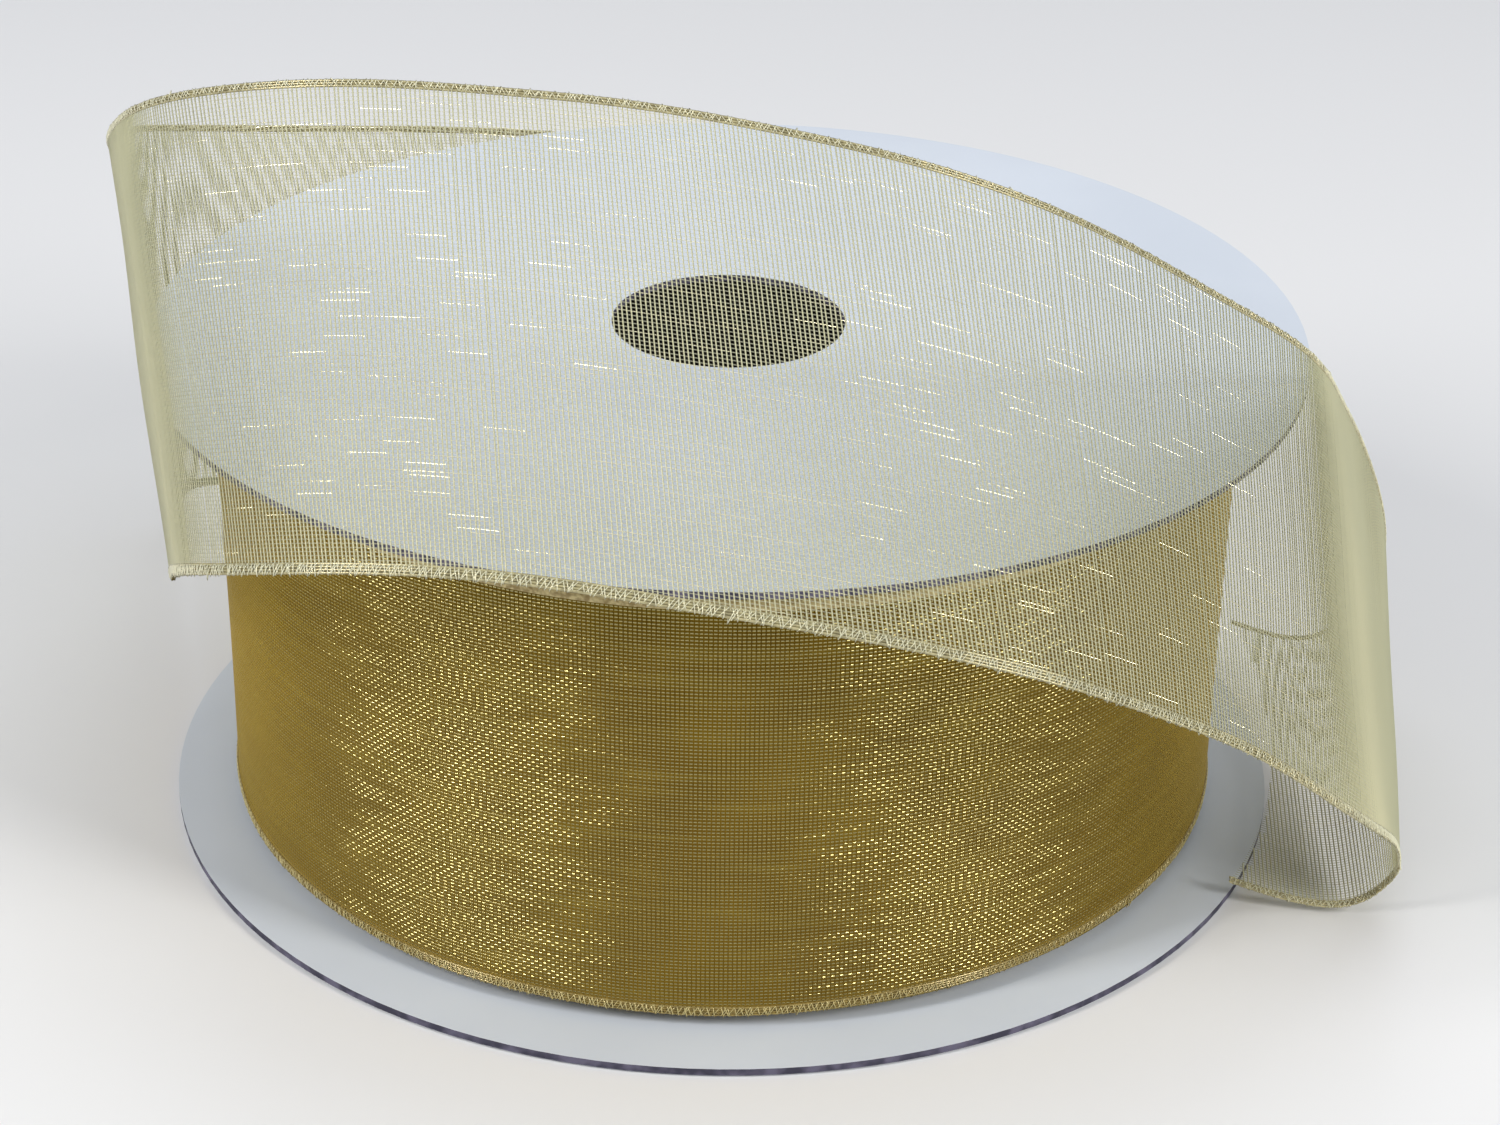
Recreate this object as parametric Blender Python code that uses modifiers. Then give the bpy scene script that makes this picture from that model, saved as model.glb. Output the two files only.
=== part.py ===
"""Spool of woven gift ribbon: two card flanges on a wide tube, the wound roll and the ribbon's free tail.

Every size is in metres, with the table at z = 0. Ribbon frames and other sizes are written in millimetres
and multiplied by MM. The spool's axis is vertical, the viewer stands at -Y.
"""
import math

import bpy
import bmesh
from mathutils import Vector

MM = 0.001

# Driving dimensions
FLANGE_RADIUS = 49.8 * MM
CARD = 0.6 * MM
SPOOL_HEIGHT = 43.26 * MM
SPINDLE_HOLE_RADIUS = 10.1 * MM
RIBBON_WIDTH = 38.5 * MM
RIBBON_THICKNESS = 0.3 * MM
SELVEDGE_RADIUS = 0.4 * MM
ROLL_RADIUS = 44.4 * MM
TUBE_RADIUS = 33 * MM
TUBE_WALL = 1.3 * MM
GAP = 0.3 * MM

# Heights of the spool's pieces over the table
SPOOL_LIFT = 0.15 * MM
LOWER_CARD_TOP = SPOOL_LIFT + CARD
UPPER_CARD_BASE = SPOOL_LIFT + SPOOL_HEIGHT - CARD
ROLL_BASE = LOWER_CARD_TOP + 1.3 * MM
ROLL_TOP = ROLL_BASE + RIBBON_WIDTH
ROLL_BORE = TUBE_RADIUS + 3 * GAP
EDGE_BAND = 1.2 * MM
EDGE_RIDGES = 6
RIDGE_SHARE = 0.35
GLUE_SIZE = 2 * MM
TAPE_HALF_ANGLE = 0.3
TAPE_MARGIN = 8 * MM

ROUND_STEPS = 128
SMALL_ROUND_STEPS = 64
TAPE_STEPS = 8

# The free tail, as control frames of a cubic spline. Each frame holds the upper and then the lower
# selvedge, in millimetres from the spool's axis and from the table. The surface between is straight.
TAIL_FRAMES = (
    # leaves the roll at the back, between the flanges, and runs to the left
    ((0, 48.5, 41.5), (0, 46, 3)),
    ((-23, 55, 41), (-19.5, 51.5, 2.5)),
    ((-45, 52.5, 41.5), (-37.5, 49, 3)),
    # folds back on itself behind the left of the spool
    ((-56.5, 51, 42), (-52.5, 47, 3.5)),
    ((-61, 49.5, 42.5), (-57, 45.5, 4)),
    ((-59.5, 41.5, 44), (-56, 37, 5.5)),
    # comes forward on edge along the left side, climbing
    ((-57.5, 30, 46), (-54.5, 28, 7.5)),
    ((-56, 21, 48), (-50.5, 7.5, 11.5)),
    ((-53, 3, 58), (-44.5, -31, 33)),
    # lies against the front of the upper flange and leans over it
    ((-48, -17.5, 69.5), (-39.5, -46, 42)),
    ((-23.5, -24.5, 74), (-21, -51.5, 46)),
    ((1.5, -29.5, 72.5), (7, -57.5, 44.5)),
    ((22, -26.5, 66.5), (27, -54, 38)),
    ((41, -19.5, 54), (40.5, -49, 29.5)),
    # turns down at the right
    ((49, -14, 46.5), (49, -43.5, 21)),
    ((52.5, -6, 39.5), (55, -31.5, 11)),
    ((57, 3.5, 31.5), (56.5, -28.5, 8.5)),
    ((62.5, 9.5, 17), (57.5, -27.5, 6)),
    # curls under and ends beneath the lower flange
    ((59.5, 11, 9.5), (57, -27, 4)),
    ((55.5, 12, 5), (53.5, -26, -0.5)),
    ((46.5, 13, 8), (43.5, -25, 2.5)),
)

# Places along the tail, counted in control frames
FOLD_START = 2.6
VEIL_START = 8.5
LOOP_START = 13.3
END_START = 18.2
FOLD_BACK = (4, 7)
LAST_TURN = (18.5, 20)

# Where the tail is divided at its lifting axis, and where it ends
WALL_CUT_Y = 41 * MM
RIM_CUT_RADIUS = FLANGE_RADIUS + 2 * GAP
EDGE_INSET = 2 * SELVEDGE_RADIUS + GAP
LIFT_AXIS_HEIGHT = 24.5 * MM
HALVINGS = 40

# Colour, roughness, metallic
MATERIALS = {
    "white_card": ((0.80, 0.82, 0.86), 0.55, 0.0),
    "kraft_tube": ((0.42, 0.29, 0.17), 0.85, 0.0),
    "glue": ((0.80, 0.68, 0.42), 0.35, 0.0),
    "clear_tape": ((0.78, 0.76, 0.66), 0.25, 0.0),
    "wound_organza": ((0.30, 0.23, 0.07), 0.45, 0.3),
    "organza": ((0.62, 0.58, 0.36), 0.45, 0.2),
    "selvedge_thread": ((0.72, 0.66, 0.40), 0.50, 0.1),
}


def clear_scene():
    for obj in list(bpy.data.objects):
        bpy.data.objects.remove(obj, do_unlink=True)


def make_material(name):
    colour, roughness, metallic = MATERIALS[name]
    material = bpy.data.materials.new(name)
    material.use_nodes = True
    shader = material.node_tree.nodes["Principled BSDF"]
    shader.inputs["Base Color"].default_value = (*colour, 1)
    shader.inputs["Roughness"].default_value = roughness
    shader.inputs["Metallic"].default_value = metallic
    material.diffuse_color = (*colour, 1)
    return material


def add_empty(name, location, parent=None):
    empty = bpy.data.objects.new(name, None)
    empty.location = location
    empty.parent = parent
    if parent:
        empty.matrix_parent_inverse = parent.matrix_world.inverted()
    empty.empty_display_size = 10 * MM
    PARTS.objects.link(empty)
    bpy.context.view_layer.update()
    return empty


def add_object(name, data, material, parent):
    """Places data, whose points are in world coordinates, under the empty that carries its body."""
    obj = bpy.data.objects.new(name, data)
    PARTS.objects.link(obj)
    data.materials.append(material)
    obj.parent = parent
    obj.matrix_parent_inverse = parent.matrix_world.inverted()
    return obj


def add_ring(name, profile, material, parent, steps=ROUND_STEPS):
    """Turns a closed outline of (radius, height) about the spool's axis. It starts down the outer side."""
    mesh = bpy.data.meshes.new(name)
    points = [(radius, 0, height) for radius, height in profile]
    edges = [(i, (i + 1) % len(points)) for i in range(len(points))]
    mesh.from_pydata(points, edges, [])
    obj = add_object(name, mesh, material, parent)
    screw = obj.modifiers.new("turn", "SCREW")
    screw.axis = "Z"
    screw.angle = math.tau
    screw.steps = steps
    screw.render_steps = steps
    screw.use_merge_vertices = True
    screw.merge_threshold = 0.00001
    screw.use_smooth_shade = False
    return obj


def box_outline(inner, outer, base, top):
    return [(outer, top), (outer, base), (inner, base), (inner, top)]


def ridged_outline(inner, outer, base, top, ridge_side):
    """A flat band whose upper (1) or lower (-1) side carries one round ridge for each bundle of turns."""
    pitch = (outer - inner) / EDGE_RIDGES
    depth = RIDGE_SHARE * (top - base)
    valleys = [(outer - i * pitch, depth) for i in range(EDGE_RIDGES + 1)]
    peaks = [(outer - (i + 0.5) * pitch, 0) for i in range(EDGE_RIDGES)]
    crest = [valleys[0]]
    for peak, valley in zip(peaks, valleys[1:]):
        crest += [peak, valley]
    if ridge_side > 0:
        return [(outer, base), (inner, base)] + [(r, top - d) for r, d in reversed(crest)]
    return [(inner, top), (outer, top)] + [(r, base + d) for r, d in crest]


def spline_weights(t):
    return (
        (1 - t) ** 3 / 6,
        (3 * t**3 - 6 * t**2 + 4) / 6,
        (-3 * t**3 + 3 * t**2 + 3 * t + 1) / 6,
        t**3 / 6,
    )


def selvedge_point(side, place):
    """A point of the upper (0) or lower (1) selvedge. The spline starts and ends on its outer frames."""
    knots = [Vector(frame[side]) * MM for frame in TAIL_FRAMES]
    knots.insert(0, 2 * knots[0] - knots[1])
    knots.append(2 * knots[-1] - knots[-2])
    first = min(int(place), len(TAIL_FRAMES) - 2)
    weights = spline_weights(place - first)
    return sum((w * k for w, k in zip(weights, knots[first : first + 4])), Vector())


def ribbon_point(place, across):
    """A point of the tail's middle surface: across is 0 at the lower selvedge and 1 at the upper one."""
    lower = selvedge_point(1, place)
    return lower.lerp(selvedge_point(0, place), across)


def place_after(place, distance, across):
    """The place that lies a distance further along the ribbon."""
    step = 0.01
    slope = (ribbon_point(place + step, across) - ribbon_point(place - step, across)).length
    return place + distance * 2 * step / slope


def falling_place(measure, value, within, across):
    """The place in a range at which a measure of the point falls to a value."""
    low, high = within
    for _ in range(HALVINGS):
        middle = (low + high) / 2
        if measure(ribbon_point(middle, across)) > value:
            low = middle
        else:
            high = middle
    return high


def wall_cut(across):
    """Where the tail is divided in a plane square to the lifting axis."""
    return falling_place(lambda p: p.y, WALL_CUT_Y, FOLD_BACK, across)


def rim_cut(across):
    """Where the tail's end reaches the rim of the lower flange."""
    return falling_place(lambda p: math.hypot(p.x, p.y), RIM_CUT_RADIUS, LAST_TURN, across)


def cut_at(place, side=0):
    """A straight cut across the ribbon, half a gap before (-1) or after (1) a place."""
    return lambda across: place_after(place, side * GAP / 2, across)


def cut_beside(cut, side):
    return lambda across: place_after(cut(across), side * GAP / 2, across)


def add_band(name, start, end, lengthwise, material, parent, crosswise=5):
    """A stretch of the woven band between its two selvedges, as an open surface with thickness."""
    mesh = bpy.data.meshes.new(name)
    inset = EDGE_INSET / RIBBON_WIDTH
    points = []
    for i in range(lengthwise + 1):
        for j in range(crosswise + 1):
            across = inset + (1 - 2 * inset) * j / crosswise
            first, last = start(across), end(across)
            points.append(ribbon_point(first + (last - first) * i / lengthwise, across))
    faces = []
    for i in range(lengthwise):
        for j in range(crosswise):
            a = i * (crosswise + 1) + j
            b = a + crosswise + 1
            faces += [(a, b, b + 1), (a, b + 1, a + 1)]
    mesh.from_pydata(points, [], faces)
    obj = add_object(name, mesh, material, parent)
    solidify = obj.modifiers.new("thickness", "SOLIDIFY")
    solidify.thickness = RIBBON_THICKNESS
    solidify.offset = 0
    return obj


def add_selvedge(name, side, start, end, lengthwise, material, parent):
    """The corded edge of the ribbon: side is 0 for the upper selvedge and 1 for the lower one."""
    inset = SELVEDGE_RADIUS / RIBBON_WIDTH
    across = 1 - inset if side == 0 else inset
    first, last = start(across), end(across)
    curve = bpy.data.curves.new(name, "CURVE")
    curve.dimensions = "3D"
    curve.bevel_depth = SELVEDGE_RADIUS
    curve.bevel_resolution = 1
    curve.use_fill_caps = True
    line = curve.splines.new("POLY")
    line.points.add(lengthwise)
    for i in range(lengthwise + 1):
        point = ribbon_point(first + (last - first) * i / lengthwise, across)
        line.points[i].co = (*point, 1)
    return add_object(name, curve, material, parent)


def build_spool(body, materials):
    card, glue = materials["white_card"], materials["glue"]
    tube_base = LOWER_CARD_TOP + GAP
    tube_top = UPPER_CARD_BASE - GAP
    bore = TUBE_RADIUS - TUBE_WALL
    add_ring(
        "top_flange",
        box_outline(SPINDLE_HOLE_RADIUS, FLANGE_RADIUS, UPPER_CARD_BASE, UPPER_CARD_BASE + CARD),
        card,
        body,
    )
    add_ring(
        "bottom_flange",
        box_outline(SPINDLE_HOLE_RADIUS, FLANGE_RADIUS, SPOOL_LIFT, LOWER_CARD_TOP),
        card,
        body,
    )
    add_ring(
        "core_tube",
        box_outline(bore, TUBE_RADIUS, tube_base, tube_top),
        materials["kraft_tube"],
        body,
        SMALL_ROUND_STEPS,
    )
    outer = bore - GAP
    inner = outer - GLUE_SIZE
    upper_bead = [(outer, tube_top), (outer, tube_top - GLUE_SIZE), (inner, tube_top)]
    lower_bead = [(outer, tube_base + GLUE_SIZE), (outer, tube_base), (inner, tube_base)]
    add_ring("top_glue_bead", upper_bead, glue, body, SMALL_ROUND_STEPS)
    add_ring("bottom_glue_bead", lower_bead, glue, body, SMALL_ROUND_STEPS)
    add_start_tape(body, materials["clear_tape"])


def add_start_tape(body, material):
    """The patch of tape that holds the ribbon's first turn on the tube."""
    mesh = bpy.data.meshes.new("start_tape")
    inner = TUBE_RADIUS + GAP
    outer = inner + GAP
    low, high = ROLL_BASE + TAPE_MARGIN, ROLL_TOP - TAPE_MARGIN
    points = []
    for i in range(TAPE_STEPS + 1):
        angle = TAPE_HALF_ANGLE * (2 * i / TAPE_STEPS - 1)
        for radius, height in box_outline(inner, outer, low, high):
            points.append((radius * math.cos(angle), radius * math.sin(angle), height))
    faces = [(3, 2, 1, 0), tuple(4 * TAPE_STEPS + k for k in range(4))]
    for i in range(TAPE_STEPS):
        for k in range(4):
            a, b = 4 * i + k, 4 * i + (k + 1) % 4
            faces.append((a, b, b + 4, a + 4))
    mesh.from_pydata(points, [], faces)
    shape = bmesh.new()
    shape.from_mesh(mesh)
    bmesh.ops.recalc_face_normals(shape, faces=shape.faces)
    shape.to_mesh(mesh)
    shape.free()
    return add_object("start_tape", mesh, material, body)


def build_roll(body, materials):
    """The wound ribbon: the bands of all turns as one body, and their selvedges above and below."""
    band_base = ROLL_BASE + EDGE_BAND + GAP
    band_top = ROLL_TOP - EDGE_BAND - GAP
    add_ring(
        "ribbon_roll",
        box_outline(ROLL_BORE, ROLL_RADIUS, band_base, band_top),
        materials["wound_organza"],
        body,
    )
    for name, base, side in (
        ("roll_upper_selvedges", ROLL_TOP - EDGE_BAND, 1),
        ("roll_lower_selvedges", ROLL_BASE, -1),
    ):
        outline = ridged_outline(ROLL_BORE, ROLL_RADIUS, base, base + EDGE_BAND, side)
        add_ring(name, outline, materials["selvedge_thread"], body, SMALL_ROUND_STEPS)


def build_tail_root(body, materials):
    band, thread = materials["organza"], materials["selvedge_thread"]
    add_band("tail_back_run", cut_at(0), cut_at(FOLD_START, -1), 16, band, body)
    add_band("tail_fold", cut_at(FOLD_START, 1), cut_beside(wall_cut, -1), 14, band, body)
    root_end = cut_beside(wall_cut, -1)
    add_selvedge("root_upper_selvedge", 0, cut_at(0), root_end, 30, thread, body)
    add_selvedge("root_lower_selvedge", 1, cut_at(0), root_end, 30, thread, body)


def build_tail_free(body, materials):
    band, thread = materials["organza"], materials["selvedge_thread"]
    free_start = cut_beside(wall_cut, 1)
    add_band("tail_wall", free_start, cut_at(VEIL_START, -1), 20, band, body)
    add_band("tail_veil", cut_at(VEIL_START, 1), cut_at(LOOP_START, -1), 36, band, body)
    add_band("tail_loop", cut_at(LOOP_START, 1), cut_at(END_START, -1), 24, band, body)
    add_band("tail_end", cut_at(END_START, 1), rim_cut, 8, band, body)
    add_selvedge("free_upper_selvedge", 0, free_start, rim_cut, 90, thread, body)
    add_selvedge("free_lower_selvedge", 1, free_start, rim_cut, 90, thread, body)


def shade_ribbon_smooth():
    """Shades the cloth and the tape smooth. The turned rings keep their flat faces."""
    for obj in PARTS.objects:
        if obj.type == "MESH":
            obj.data.shade_smooth()


def centre_on_origin(root):
    """Moves the whole object so that its box stands centred on the origin, with its lowest point at z = 0."""
    bpy.context.view_layer.update()
    graph = bpy.context.evaluated_depsgraph_get()
    corners = []
    for obj in PARTS.objects:
        if obj.type == "EMPTY":
            continue
        evaluated = obj.evaluated_get(graph)
        mesh = evaluated.to_mesh()
        corners += [evaluated.matrix_world @ vertex.co for vertex in mesh.vertices]
        evaluated.to_mesh_clear()
    low = Vector(min(corner[k] for corner in corners) for k in range(3))
    high = Vector(max(corner[k] for corner in corners) for k in range(3))
    root.location = (-(low.x + high.x) / 2, -(low.y + high.y) / 2, -low.z)


clear_scene()
PARTS = bpy.data.collections.new("ribbon_spool")
bpy.context.scene.collection.children.link(PARTS)
MADE_OF = {name: make_material(name) for name in MATERIALS}

spool_body = add_empty("spool", (0, 0, 0))
unwind_axis = add_empty("unwind_axis", (0, 0, 0), spool_body)
lift_point = ribbon_point(wall_cut(0.5), 0.5)
lift_axis = add_empty("lift_axis", (lift_point.x, lift_point.y, LIFT_AXIS_HEIGHT), unwind_axis)

build_spool(spool_body, MADE_OF)
build_roll(spool_body, MADE_OF)
build_tail_root(unwind_axis, MADE_OF)
build_tail_free(lift_axis, MADE_OF)
shade_ribbon_smooth()
centre_on_origin(spool_body)
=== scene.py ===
"""A spool of sheer woven gift ribbon with a loose tail, modelled finely round its plainer solids.

Every length is in metres unless a name or comment says otherwise. The table is at z = 0, and the viewer
stands at -Y.
"""
import math

import bpy
import numpy as np
from mathutils import Matrix, Vector


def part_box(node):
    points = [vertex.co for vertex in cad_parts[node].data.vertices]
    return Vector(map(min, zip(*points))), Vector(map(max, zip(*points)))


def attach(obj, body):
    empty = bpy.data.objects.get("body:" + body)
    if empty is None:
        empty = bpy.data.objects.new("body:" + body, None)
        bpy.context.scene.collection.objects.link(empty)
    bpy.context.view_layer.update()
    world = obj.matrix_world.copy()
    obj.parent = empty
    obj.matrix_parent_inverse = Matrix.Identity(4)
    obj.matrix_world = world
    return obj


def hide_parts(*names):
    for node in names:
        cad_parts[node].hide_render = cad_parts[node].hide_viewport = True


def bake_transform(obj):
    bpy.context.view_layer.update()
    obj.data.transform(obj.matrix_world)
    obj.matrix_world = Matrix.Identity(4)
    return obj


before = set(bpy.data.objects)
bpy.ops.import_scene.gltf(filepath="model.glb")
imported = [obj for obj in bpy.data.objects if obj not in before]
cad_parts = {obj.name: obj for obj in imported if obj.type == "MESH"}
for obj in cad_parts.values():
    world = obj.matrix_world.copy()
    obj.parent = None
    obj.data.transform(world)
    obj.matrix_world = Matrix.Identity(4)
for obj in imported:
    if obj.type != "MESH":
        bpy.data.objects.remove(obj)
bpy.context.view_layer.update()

MM = 0.001
RNG = np.random.default_rng(7)

# ---------------------------------------------------------------- sizes

# The spool, from its solids
card_low, card_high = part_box("top_flange")
roll_low, roll_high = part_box("ribbon_roll")
tube_low, tube_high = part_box("core_tube")
AXIS = np.array([(card_low[0] + card_high[0]) / 2, (card_low[1] + card_high[1]) / 2])
CARD_TOP = card_high[2]
FLANGE_RADIUS = (card_high[0] - card_low[0]) / 2
ROLL_RADIUS = (roll_high[0] - roll_low[0]) / 2
TUBE_RADIUS = (tube_high[0] - tube_low[0]) / 2
ROLL_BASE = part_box("roll_lower_selvedges")[0][2]
ROLL_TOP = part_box("roll_upper_selvedges")[1][2]
SPOOL_LIFT = 0.15 * MM
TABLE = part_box("bottom_flange")[0][2] - SPOOL_LIFT

# The wall of the roll: how deep it is bowed, and how far it and its selvedges stray in long and short waves
WALL_BOW = 0.12 * MM
WALL_SLACK = (0.035 * MM, 0.025 * MM)
EDGE_WOBBLE = (0.12 * MM, 0.07 * MM)
EDGE_INSET = 0.02 * MM
WALL_STEPS = 24
ROUND_STEPS = 288

# The ends of the roll, where the turns show as spiral ridges
RIDGES = 27
RIDGE_POINTS = 4
RIDGE_DEPTH = 0.45 * MM
RIDGE_FULLNESS = 0.6
RIDGE_SINK = 0.35 * MM
RIDGE_UNEVEN = 0.28 * MM
END_SINK = 0.05 * MM
END_ROUNDING = 1.2 * MM
BORE_GAP = 0.9 * MM

# The woven band
RIBBON_WIDTH = 38.5 * MM
WEFT_PITCH = 0.36 * MM
WARP_PITCH = 0.31 * MM
WEFT_RADIUS = 0.071 * MM
WEFT_UNEVEN = 0.06 * WEFT_PITCH

# Its selvedges: flat bundles of strands, with two thin threads that wind round them and cross
SELVEDGE_WIDTH = 0.9 * MM
UPPER_SELVEDGE_WIDTH = 0.64 * MM
STRAND_PITCH = 0.22 * MM
STRAND_RADIUS = 0.56 * STRAND_PITCH
STRAND_WAVE = 0.35 * MM
STRAND_SWING = 0.035 * MM
FLATTENING = 0.8
WRAP_PITCH = 0.42 * MM
WRAP_POINTS = 7
WRAP_SLANT = 0.2 * MM
WRAP_LIFT = 0.12 * MM
WRAP_RADIUS = 0.045 * MM
WRAP_UNEVEN = 0.45 * WRAP_PITCH
WRAP_FADE = 2 * MM
LOOP_SPREAD = 0.16
LOOP_LIMITS = (0.7, 1.4)
STRAY_SHARE = 0.006
STRAY_REACH = (1.3, 0.7)

# A loose thread end. Its place is counted in tail frames.
LOOSE_PLACE = 16.6
LOOSE_LENGTH = 0.9 * MM
LOOSE_BEND = 0.5 * MM
LOOSE_RADIUS = 0.06 * MM
LOOSE_POINTS = 8

# The free tail, as control frames of a cubic spline. Each frame holds the upper and then the lower
# selvedge, in millimetres from the spool's axis and from the table. The surface between is straight.
TAIL_FRAMES = (
    # leaves the roll at the back, between the flanges, and runs to the left
    ((0, 48.5, 41.5), (0, 46, 3)),
    ((-23, 55, 41), (-19.5, 51.5, 2.5)),
    ((-45, 52.5, 41.5), (-37.5, 49, 3)),
    # folds back on itself behind the left of the spool
    ((-56.5, 51, 42), (-52.5, 47, 3.5)),
    ((-61, 49.5, 42.5), (-57, 45.5, 4)),
    ((-59.5, 41.5, 44), (-56, 37, 5.5)),
    # comes forward on edge along the left side, climbing
    ((-57.5, 30, 46), (-54.5, 28, 7.5)),
    ((-56, 21, 48), (-50.5, 7.5, 12.5)),
    ((-53, 3, 58), (-44.5, -31, 34.4)),
    # lies against the front of the upper flange and leans over it
    ((-48, -17.5, 69.5), (-39.5, -46, 42)),
    ((-23.5, -24.5, 74), (-21, -51.5, 46)),
    ((1.5, -29.5, 72.5), (7, -57.5, 44.5)),
    ((22, -26.5, 66.5), (27, -54, 38)),
    ((41, -19.5, 54), (40.5, -49, 29.5)),
    # turns down at the right
    ((49, -14, 46.5), (49, -43.5, 21)),
    ((52.5, -6, 39.5), (55, -31.5, 11)),
    ((57, 3.5, 31.5), (56.5, -28.5, 8.5)),
    ((62.5, 9.5, 17), (57.5, -27.5, 6)),
    # curls under and ends beneath the lower flange
    ((59.5, 11, 9.5), (57, -27, 4)),
    ((55.5, 12, 5), (53.5, -26, -0.5)),
    ((46.5, 13, 8), (43.5, -25, 2.5)),
)
TAIL_END = len(TAIL_FRAMES) - 1

# The tail is cut off just outside the rim of the lower flange. The cut is sought from a place in the curl,
# where all of the ribbon is still outside the rim.
CURL_PLACE = 18.5
RIM_CUT_RADIUS = FLANGE_RADIUS + 0.3 * MM

# The lead: the last part of the outer turn, which rises out of the roll before the tail leaves it. Its
# places, counted in frames like the tail's, are below 0. It starts sunk in the roll and then stands off it,
# and its looks and its shape change from laid to free over the fade.
LEAD_FRAMES = 5
LEAD_START = -LEAD_FRAMES + 0.6
LEAD_STEP = math.radians(18)
LEAD_HEIGHT = 0.2 * MM
LEAD_SUNK = 0.45 * MM
LAID_FADE = 9 * MM

# Waves of the loose cloth, in millimetres. They begin at one distance along the tail, grow over another,
# and die down round each tight bend, given by its distance along the tail and its reach.
BROAD_WAVE = 0.16
FINE_WAVE = 0.09
EDGE_WAVE = 0.14
WAVE_START = 10
WAVE_GROWTH = 30
TIGHT_BENDS = ((63, 9), (284, 12))
TIGHT_SHARE = 0.9

# How finely the band and its threads are divided, and the places at which the band's length is measured
LEAD_STEPS = (120, 24)
TAIL_STEPS = (900, 34)
LEAD_WEFT_POINTS = 14
TAIL_WEFT_POINTS = 16
LENGTH_SAMPLES = 4001
FIRST_PLACE = -LEAD_FRAMES + 0.02
DIRECTION_STEP = 0.02
HALVINGS = 30


# ---------------------------------------------------------------- ribbon surface


def lead_frames():
    """Frames of the lead, set out from the axis so that their spline keeps the wanted radius."""
    frames = []
    for k in range(LEAD_FRAMES, 0, -1):
        sunk = max(0, k - LEAD_FRAMES + 2) / 2
        radius = ROLL_RADIUS + LEAD_HEIGHT - sunk * (LEAD_HEIGHT + LEAD_SUNK)
        reach = radius * 3 / (2 + math.cos(LEAD_STEP))
        angle = math.pi / 2 - k * LEAD_STEP
        x, y = reach * math.cos(angle), reach * math.sin(angle)
        frames.append(((x, y, ROLL_TOP), (x, y, ROLL_BASE)))
    return frames


def all_frames():
    """Every frame in place, with one more at each end so that the spline reaches its first and last."""
    tail = np.array(TAIL_FRAMES, float) * MM
    tail[:, :, 2] += TABLE
    frames = np.concatenate([np.array(lead_frames()), tail])
    frames[:, :, 0] += AXIS[0]
    frames[:, :, 1] += AXIS[1]
    first = 2 * frames[:1] - frames[1:2]
    last = 2 * frames[-1:] - frames[-2:-1]
    return np.concatenate([first, frames, last])


FRAMES = all_frames()


def selvedges(place):
    """Upper and lower selvedge points at places counted in tail frames."""
    at = np.asarray(place, float) + LEAD_FRAMES
    first = np.clip(at.astype(int), 0, len(FRAMES) - 4)
    t = at - first
    weights = (
        (1 - t) ** 3 / 6,
        (3 * t**3 - 6 * t**2 + 4) / 6,
        (-3 * t**3 + 3 * t**2 + 3 * t + 1) / 6,
        t**3 / 6,
    )
    point = sum(w[..., None, None] * FRAMES[first + k] for k, w in enumerate(weights))
    return point[..., 0, :], point[..., 1, :]


def flat_surface(place, across):
    """Points of the ribbon without its ripples: across is 0 at the lower selvedge, 1 at the upper."""
    upper, lower = selvedges(place)
    return lower + np.asarray(across, float)[..., None] * (upper - lower)


def unit(vectors):
    return vectors / np.maximum(np.linalg.norm(vectors, axis=-1, keepdims=True), 1e-12)


def directions(place, across):
    """Unit vectors along the ribbon, towards the upper selvedge, and out of the surface."""
    ahead = flat_surface(place + DIRECTION_STEP, across)
    behind = flat_surface(place - DIRECTION_STEP, across)
    along = unit(ahead - behind)
    upper, lower = selvedges(place)
    up = unit(upper - lower)
    up = unit(up - (up * along).sum(-1, keepdims=True) * along)
    return along, up, np.cross(along, up)


PLACES = np.linspace(FIRST_PLACE, TAIL_END, LENGTH_SAMPLES)
CENTRES = flat_surface(PLACES, np.full_like(PLACES, 0.5))
LENGTHS = np.concatenate([[0], np.cumsum(np.linalg.norm(np.diff(CENTRES, axis=0), axis=1))])
LENGTHS -= np.interp(0, PLACES, LENGTHS)


def length_at(place):
    """Distance along the ribbon's middle from where the tail leaves the roll."""
    return np.interp(place, PLACES, LENGTHS)


def place_at(length):
    return np.interp(length, LENGTHS, PLACES)


def ripple(place, across):
    """How far the waves of the loose cloth stand out of its surface, in metres."""
    s = length_at(place) / MM
    w = across * RIBBON_WIDTH / MM
    broad = np.sin(s / 7.3 + 0.9 * np.sin(w / 9 + 1)) * np.sin(w / 12.5 + s / 41)
    fine = np.sin(s / 3.7 + w / 11 + 2) * np.cos(w / 6.1 - s / 19)
    edge = np.abs(2 * across - 1) ** 3 * np.sin(s / 5.1 + 3 * across)
    wave = BROAD_WAVE * broad + FINE_WAVE * fine + EDGE_WAVE * edge
    free = np.clip((s - WAVE_START) / WAVE_GROWTH, 0, 1)
    tight = sum(np.exp(-(((s - middle) / reach) ** 2)) for middle, reach in TIGHT_BENDS)
    return wave * free * (1 - TIGHT_SHARE * np.clip(tight, 0, 1)) * MM


def wall_bow(height):
    """How far the wound band sinks in between its thick selvedges, at a share of its height."""
    return -WALL_BOW * np.sin(math.pi * height)


def surface(place, across):
    """Points of the ribbon. Where it still lies on the roll it is bowed like the turn below."""
    held = np.clip(-length_at(place) / LAID_FADE, 0, 1)
    out = ripple(place, across) + held * wall_bow(across)
    return flat_surface(place, across) + out[..., None] * directions(place, across)[2]


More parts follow.
